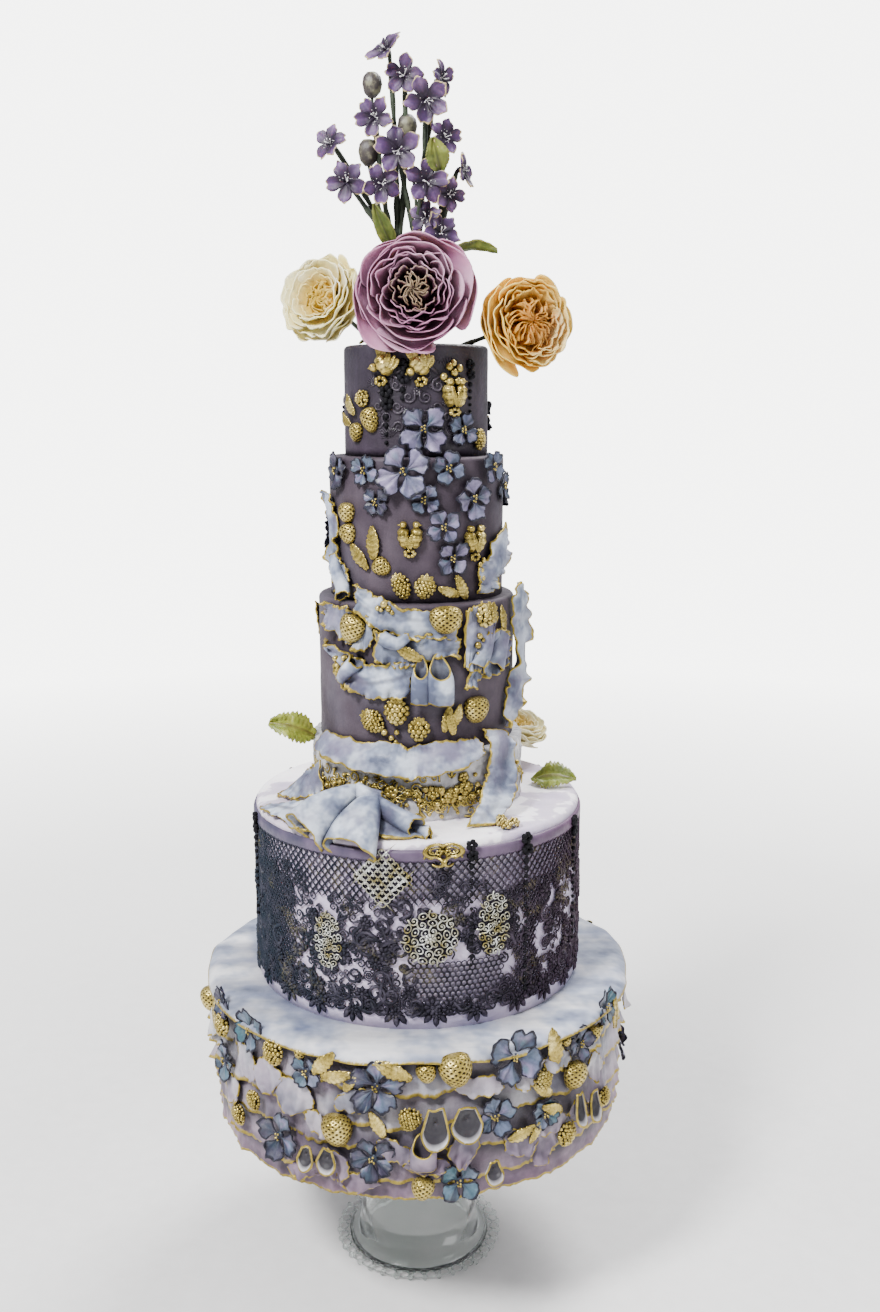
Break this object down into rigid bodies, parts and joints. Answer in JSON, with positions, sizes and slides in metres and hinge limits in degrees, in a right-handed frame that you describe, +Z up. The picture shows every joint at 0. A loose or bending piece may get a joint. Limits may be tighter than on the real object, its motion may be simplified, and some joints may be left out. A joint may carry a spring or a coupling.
{
  "type": "tiered wedding cake",
  "caption": "Tiered fondant wedding cake with ruffles, lace, swags, sugar blossoms and gold fruit, topped with roses and a flower spray, on a pressed glass stand.",
  "frame": {"origin": "centre of the flat underside of the stand's foot, on the surface that the cake stands on", "axes": "+Z up along the tiers' common axis, -Y towards the front with the flower cascade, +X to the viewer's right"},
  "size_m": [0.3397, 0.3422, 0.9469],
  "materials": {
    "glass": "clear pressed glass, slightly green at its edges",
    "ruffled_fondant": "white and lavender frills with torn gold edges",
    "lilac_fondant": "pale lilac rolled fondant, matte",
    "lace": "dark violet and teal sugar lace, satin",
    "filigree": "gold filigree over silver-white",
    "plum_fondant": "dusty plum fondant with brush marks",
    "sugar_blossom": "lilac, blue and teal petals with navy edges",
    "gold_lustre": "pale antique gold lustre paint",
    "drape_fondant": "blue-grey and white, brushed, with torn gold edges",
    "mauve_petal": "mauve petals, paler at their rims",
    "cream_petal": "cream petals",
    "peach_petal": "apricot petals inside cream ones",
    "violet_petal": "violet petals with cream edges",
    "green_leaf": "yellow-green, satin"
  },
  "bodies": {
    "root": {"cake_stand": "glass", "tier_1_ruffled": "ruffled_fondant", "tier_2_lace": "lilac_fondant", "lace_jacket": "lace", "tier_3_filigree": "filigree", "tier_4_swagged": "plum_fondant", "tier_5_blossom": "plum_fondant", "tier_6_damask": "plum_fondant", "blossom_01": "sugar_blossom", "blossom_02": "sugar_blossom", "blossom_03": "sugar_blossom", "blossom_04": "sugar_blossom", "blossom_05": "sugar_blossom", "blossom_06": "sugar_blossom", "blossom_07": "sugar_blossom", "blossom_08": "sugar_blossom", "blossom_09": "sugar_blossom", "blossom_10": "sugar_blossom", "blossom_11": "sugar_blossom", "blossom_12": "sugar_blossom", "blossom_13": "sugar_blossom", "fruit_strawberry_1": "gold_lustre", "fruit_strawberry_2": "gold_lustre", "fruit_strawberry_3": "gold_lustre", "fruit_strawberry_4": "gold_lustre", "fruit_strawberry_5": "gold_lustre", "fruit_strawberry_6": "gold_lustre", "fruit_strawberry_7": "gold_lustre", "fruit_bramble_1": "gold_lustre", "fruit_bramble_2": "gold_lustre", "fruit_bramble_3": "gold_lustre", "fruit_bramble_4": "gold_lustre", "fruit_bramble_5": "gold_lustre", "fruit_bramble_6": "gold_lustre", "drape_fall_left": "drape_fondant", "drape_fall_right": "drape_fondant", "drape_swag_upper": "drape_fondant", "drape_flap_left": "drape_fondant", "drape_swag_lower": "drape_fondant", "drape_swag_third": "drape_fondant", "drape_bow": "drape_fondant", "drape_knot_right": "drape_fondant", "drape_fold_right": "drape_fondant", "drape_ruffle_right": "drape_fondant", "drape_collar": "drape_fondant", "drape_wrap_right": "drape_fondant", "drape_wrap_left": "drape_fondant", "drape_lower_bow": "drape_fondant", "drape_swag_back": "drape_fondant", "rose_mauve": "mauve_petal", "rose_cream": "cream_petal", "rose_peach": "peach_petal", "rose_rear": "cream_petal", "blossom_spray": "violet_petal", "leaf_spray": "green_leaf", "leaf_top_right": "green_leaf", "leaf_under_cream": "green_leaf", "leaf_side_left": "green_leaf", "leaf_side_right": "green_leaf"}
  },
  "joints": []
}
